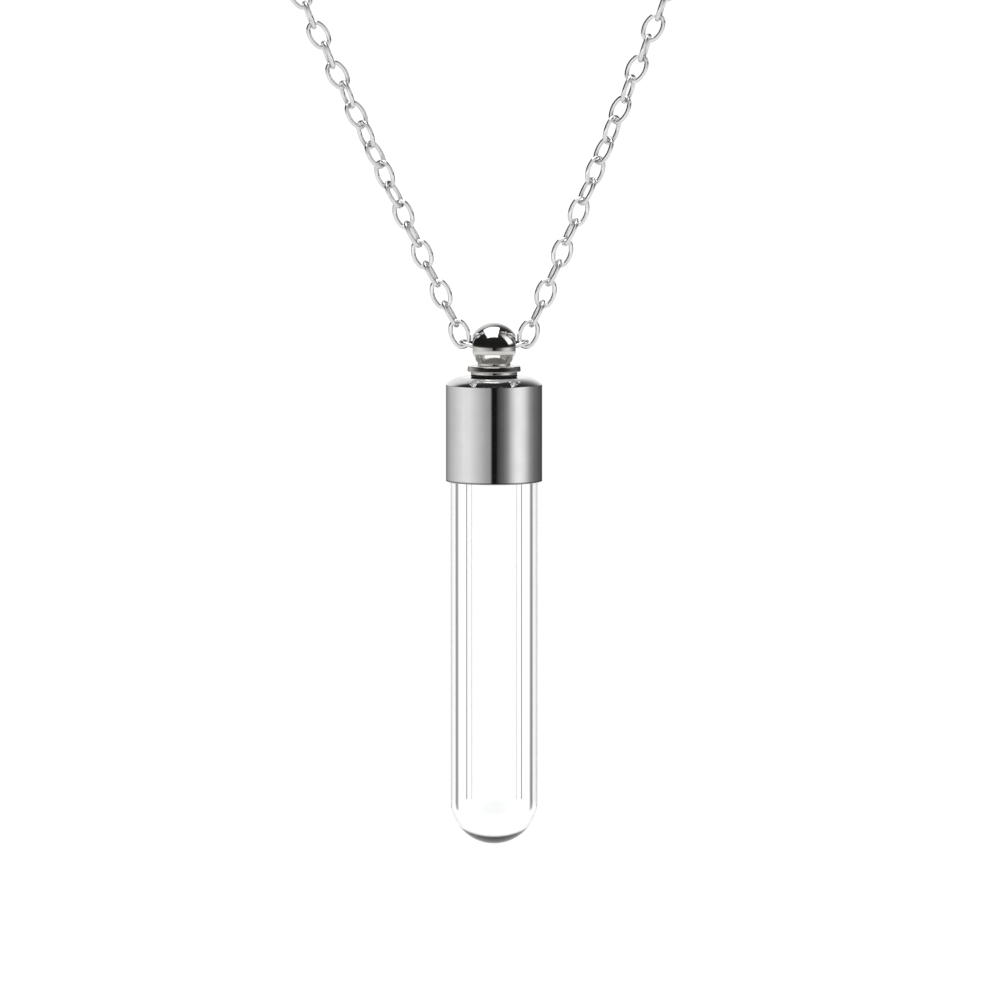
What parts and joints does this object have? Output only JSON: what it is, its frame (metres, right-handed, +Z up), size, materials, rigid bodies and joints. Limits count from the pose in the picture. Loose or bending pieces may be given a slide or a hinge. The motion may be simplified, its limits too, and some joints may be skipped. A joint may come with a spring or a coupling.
{
  "type": "vial pendant necklace",
  "caption": "Slim round-bottomed glass vial pendant with a polished cap and a drilled ball-headed screw stopper, hanging on a fine cable chain necklace.",
  "frame": {"origin": "middle of the clasp at the top of the loop, where the necklace lies on the nape or hangs from a peg", "axes": "+Z up, +X to the viewer's right, the front faces -Y, and the loop lies in the XZ plane"},
  "size_m": [0.1082, 0.0066, 0.2193],
  "materials": {
    "glass": "clear, polished",
    "cap_steel": "mirror polished stainless steel",
    "stopper_steel": "mirror polished, slightly darker and warmer steel",
    "seal_rubber": "black, matt",
    "chain_steel": "bright polished wire"
  },
  "bodies": {
    "necklace": {"chain_front": "chain_steel", "chain_back": "chain_steel", "clasp": "chain_steel", "end_ring": "chain_steel"},
    "stopper": {"stopper": "stopper_steel"},
    "seal": {"seal": "seal_rubber"},
    "vial": {"cap": "cap_steel", "glass_vial": "glass"}
  },
  "joints": [
    {"name": "pendant_swing", "type": "hinge", "parent": "necklace", "child": "stopper", "pos_m": [0, 0, -0.18209], "axis": [1, 0, 0], "range_deg": [-110, 110]},
    {"name": "unscrew_travel", "type": "slide", "parent": "stopper", "child": "seal", "axis": [0, 0, -1], "range_m": [0, 0.0022]},
    {"name": "unscrew_turn", "type": "hinge", "parent": "seal", "child": "vial", "pos_m": [0, 0, -0.18407], "axis": [0, 0, -1], "range_deg": [0, 1985]}
  ],
  "couplings": [
    {"joint": "unscrew_turn", "follows": "unscrew_travel", "rad_per_m": 15708}
  ]
}
